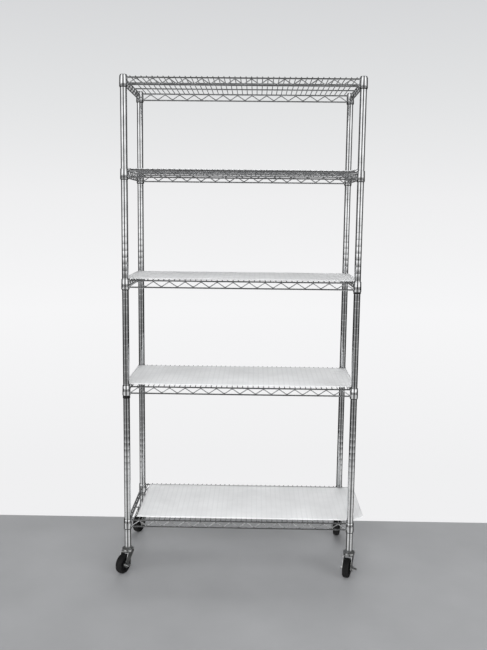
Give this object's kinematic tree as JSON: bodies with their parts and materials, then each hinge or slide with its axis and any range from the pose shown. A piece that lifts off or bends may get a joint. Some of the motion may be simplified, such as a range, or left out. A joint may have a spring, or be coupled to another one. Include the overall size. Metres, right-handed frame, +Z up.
{
  "type": "wire shelving rack",
  "caption": "Tall open rack of chromed wire shelves on round grooved posts, with thin frosted liners on the lower shelves and swivel casters, the front ones braked.",
  "frame": {"origin": "on the floor, midway between the four posts", "axes": "+X to the right, +Y to the back, +Z up; the front casters, which have the brake pedals, are at -Y"},
  "size_m": [0.9645, 0.499, 1.8905],
  "materials": {
    "chrome_post": "bright nickel-chrome plated steel tube",
    "chrome_wire": "bright nickel-chrome plated welded wire",
    "black_plastic": "moulded black polypropylene, satin",
    "black_rubber": "black thermoplastic rubber tread, satin",
    "zinc_steel": "zinc plated pressed steel",
    "frosted_liner": "frosted translucent polypropylene sheet"
  },
  "bodies": {
    "rack": {"post_front_left_lower": "chrome_post", "post_front_left_upper": "chrome_post", "post_front_right_lower": "chrome_post", "post_front_right_upper": "chrome_post", "post_back_left_lower": "chrome_post", "post_back_left_upper": "chrome_post", "post_back_right_lower": "chrome_post", "post_back_right_upper": "chrome_post", "post_joining_studs": "zinc_steel", "post_top_caps": "black_plastic", "post_caster_inserts": "zinc_steel", "shelf_1_corner_collars": "chrome_wire", "shelf_1_trusses": "chrome_wire", "shelf_1_deck": "chrome_wire", "shelf_1_sleeves": "black_plastic", "shelf_2_corner_collars": "chrome_wire", "shelf_2_trusses": "chrome_wire", "shelf_2_deck": "chrome_wire", "shelf_2_sleeves": "black_plastic", "shelf_3_corner_collars": "chrome_wire", "shelf_3_trusses": "chrome_wire", "shelf_3_deck": "chrome_wire", "shelf_3_sleeves": "black_plastic", "shelf_4_corner_collars": "chrome_wire", "shelf_4_trusses": "chrome_wire", "shelf_4_deck": "chrome_wire", "shelf_4_sleeves": "black_plastic", "shelf_5_corner_collars": "chrome_wire", "shelf_5_trusses": "chrome_wire", "shelf_5_deck": "chrome_wire", "shelf_5_sleeves": "black_plastic", "shelf_2_liner": "frosted_liner", "shelf_3_liner": "frosted_liner", "shelf_4_liner": "frosted_liner", "shelf_5_liner": "frosted_liner", "caster_front_left_stem": "zinc_steel", "caster_front_right_stem": "zinc_steel", "caster_back_left_stem": "zinc_steel", "caster_back_right_stem": "zinc_steel"},
    "front_left_fork": {"caster_front_left_fork": "zinc_steel", "caster_front_left_axle_bolt": "zinc_steel"},
    "front_left_wheel": {"caster_front_left_wheel_centre": "black_plastic", "caster_front_left_tyre": "black_rubber"},
    "front_left_pedal": {"caster_front_left_brake_pedal": "zinc_steel"},
    "front_right_fork": {"caster_front_right_fork": "zinc_steel", "caster_front_right_axle_bolt": "zinc_steel"},
    "front_right_wheel": {"caster_front_right_wheel_centre": "black_plastic", "caster_front_right_tyre": "black_rubber"},
    "front_right_pedal": {"caster_front_right_brake_pedal": "zinc_steel"},
    "back_left_fork": {"caster_back_left_fork": "zinc_steel", "caster_back_left_axle_bolt": "zinc_steel"},
    "back_left_wheel": {"caster_back_left_wheel_centre": "black_plastic", "caster_back_left_tyre": "black_rubber"},
    "back_right_fork": {"caster_back_right_fork": "zinc_steel", "caster_back_right_axle_bolt": "zinc_steel"},
    "back_right_wheel": {"caster_back_right_wheel_centre": "black_plastic", "caster_back_right_tyre": "black_rubber"}
  },
  "joints": [
    {"name": "front_left_swivel", "type": "hinge", "parent": "rack", "child": "front_left_fork", "pos_m": [-0.434, -0.204, 0.085], "axis": [0, 0, 1], "continuous": true},
    {"name": "front_left_wheel_spin", "type": "hinge", "parent": "front_left_fork", "child": "front_left_wheel", "pos_m": [-0.44853, -0.23251, 0.0375], "axis": [0.891, -0.454, 0], "continuous": true},
    {"name": "front_left_brake", "type": "hinge", "parent": "front_left_fork", "child": "front_left_pedal", "pos_m": [-0.44853, -0.23251, 0.0375], "axis": [0.891, -0.454, 0], "range_deg": [0, 18]},
    {"name": "front_right_swivel", "type": "hinge", "parent": "rack", "child": "front_right_fork", "pos_m": [0.434, -0.204, 0.085], "axis": [0, 0, 1], "continuous": true},
    {"name": "front_right_wheel_spin", "type": "hinge", "parent": "front_right_fork", "child": "front_right_wheel", "pos_m": [0.42358, -0.23426, 0.0375], "axis": [0.9455, -0.3256, 0], "continuous": true},
    {"name": "front_right_brake", "type": "hinge", "parent": "front_right_fork", "child": "front_right_pedal", "pos_m": [0.42358, -0.23426, 0.0375], "axis": [0.9455, -0.3256, 0], "range_deg": [0, 18]},
    {"name": "back_left_swivel", "type": "hinge", "parent": "rack", "child": "back_left_fork", "pos_m": [-0.434, 0.204, 0.085], "axis": [0, 0, 1], "continuous": true},
    {"name": "back_left_wheel_spin", "type": "hinge", "parent": "back_left_fork", "child": "back_left_wheel", "pos_m": [-0.44702, 0.17477, 0.0375], "axis": [0.9135, -0.4067, 0], "continuous": true},
    {"name": "back_right_swivel", "type": "hinge", "parent": "rack", "child": "back_right_fork", "pos_m": [0.434, 0.204, 0.085], "axis": [0, 0, 1], "continuous": true},
    {"name": "back_right_wheel_spin", "type": "hinge", "parent": "back_right_fork", "child": "back_right_wheel", "pos_m": [0.42572, 0.17309, 0.0375], "axis": [0.9659, -0.2588, 0], "continuous": true}
  ]
}
